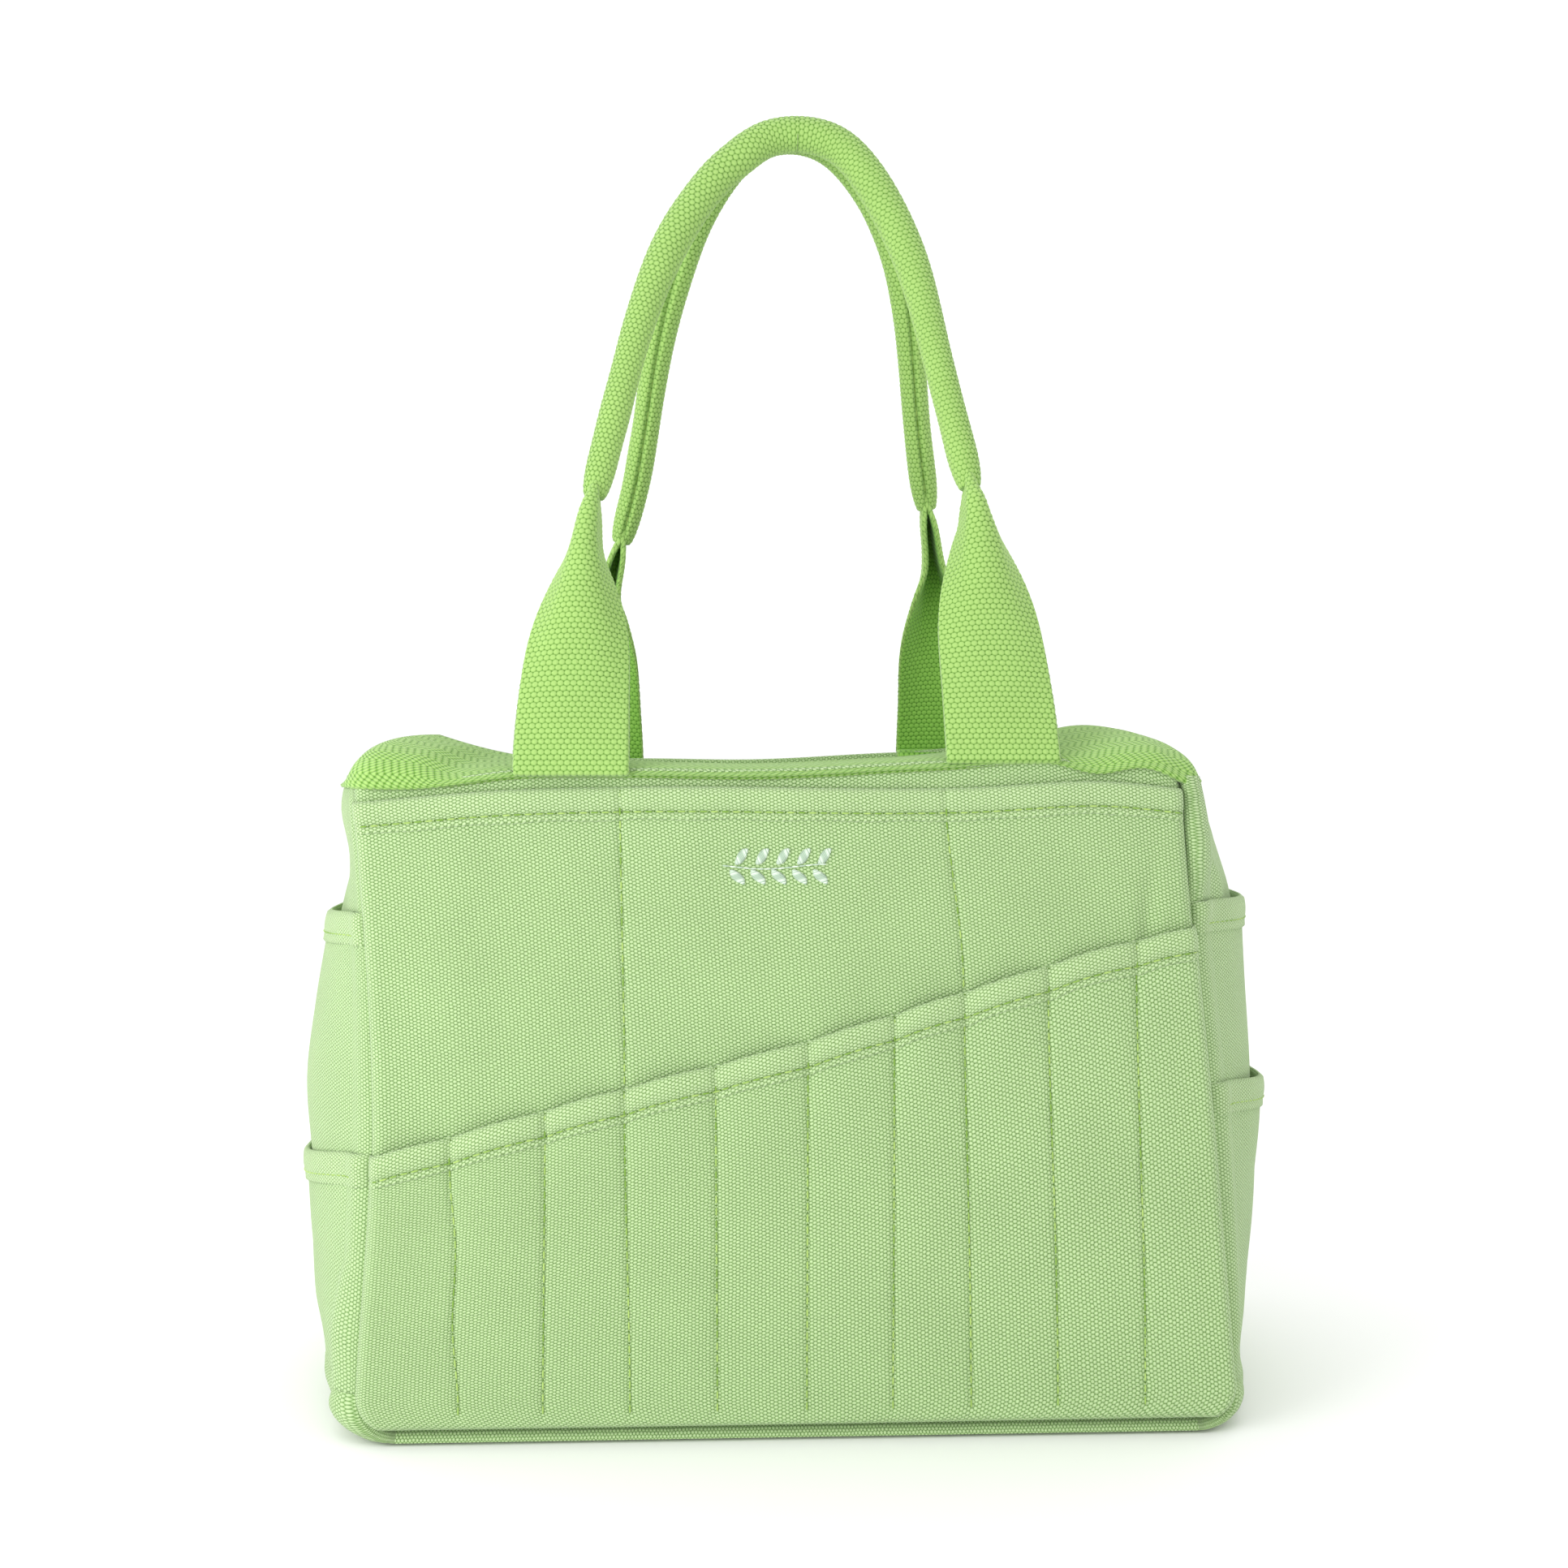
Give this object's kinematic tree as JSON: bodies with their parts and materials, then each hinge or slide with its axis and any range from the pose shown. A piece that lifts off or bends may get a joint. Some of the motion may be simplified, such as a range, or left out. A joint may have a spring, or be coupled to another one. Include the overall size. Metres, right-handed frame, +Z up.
{
  "type": "garden tool bag",
  "caption": "Open canvas tote for garden tools, with a slanted row of stitched tool slots, stacked side pockets and two webbing carry handles with rolled grips.",
  "frame": {"origin": "middle of the flat base, on the ground", "axes": "+Z up, -Y is the front with the slanted tool slots, +X to the right seen from the front"},
  "size_m": [0.3744, 0.1926, 0.4976],
  "materials": {
    "canvas": "heavy plain-weave cotton, matt",
    "webbing": "coarse cotton webbing, matt",
    "thread": "spun sewing thread",
    "embroidery": "satin-stitch embroidery thread",
    "binding": "flat cotton tape",
    "board": "stiff fibre board, matt",
    "core": "soft braided cotton cord"
  },
  "bodies": {
    "bag": {"front_panel": "canvas", "back_panel": "canvas", "left_side_panel": "canvas", "right_side_panel": "canvas", "base_panel": "canvas", "front_upper_pocket": "canvas", "front_slant_pocket": "canvas", "back_pocket": "canvas", "left_upper_side_pocket": "canvas", "left_lower_side_pocket": "canvas", "right_upper_side_pocket": "canvas", "right_lower_side_pocket": "canvas", "rim_webbing": "webbing", "front_left_strap_end": "webbing", "front_right_strap_end": "webbing", "back_left_strap_end": "webbing", "back_right_strap_end": "webbing", "front_upper_dividers": "thread", "front_upper_hem_stitching": "thread", "front_slot_dividers": "thread", "front_slant_hem_stitching": "thread", "back_pocket_dividers": "thread", "back_pocket_hem_stitching": "thread", "left_side_hem_stitching": "thread", "right_side_hem_stitching": "thread", "sprig_embroidery": "embroidery", "base_board": "board", "front_seam_binding": "binding", "back_seam_binding": "binding"},
    "front_handle": {"front_left_strap": "webbing", "front_right_strap": "webbing", "front_grip": "webbing", "front_grip_core": "core", "front_grip_stitching": "thread"},
    "back_handle": {"back_left_strap": "webbing", "back_right_strap": "webbing", "back_grip": "webbing", "back_grip_core": "core", "back_grip_stitching": "thread"}
  },
  "joints": [
    {"name": "front_handle_swing", "type": "hinge", "parent": "bag", "child": "front_handle", "pos_m": [0, -0.089, 0.238], "axis": [1, 0, 0], "range_deg": [0, 155]},
    {"name": "back_handle_swing", "type": "hinge", "parent": "bag", "child": "back_handle", "pos_m": [0, 0.089, 0.238], "axis": [-1, 0, 0], "range_deg": [0, 155]}
  ]
}
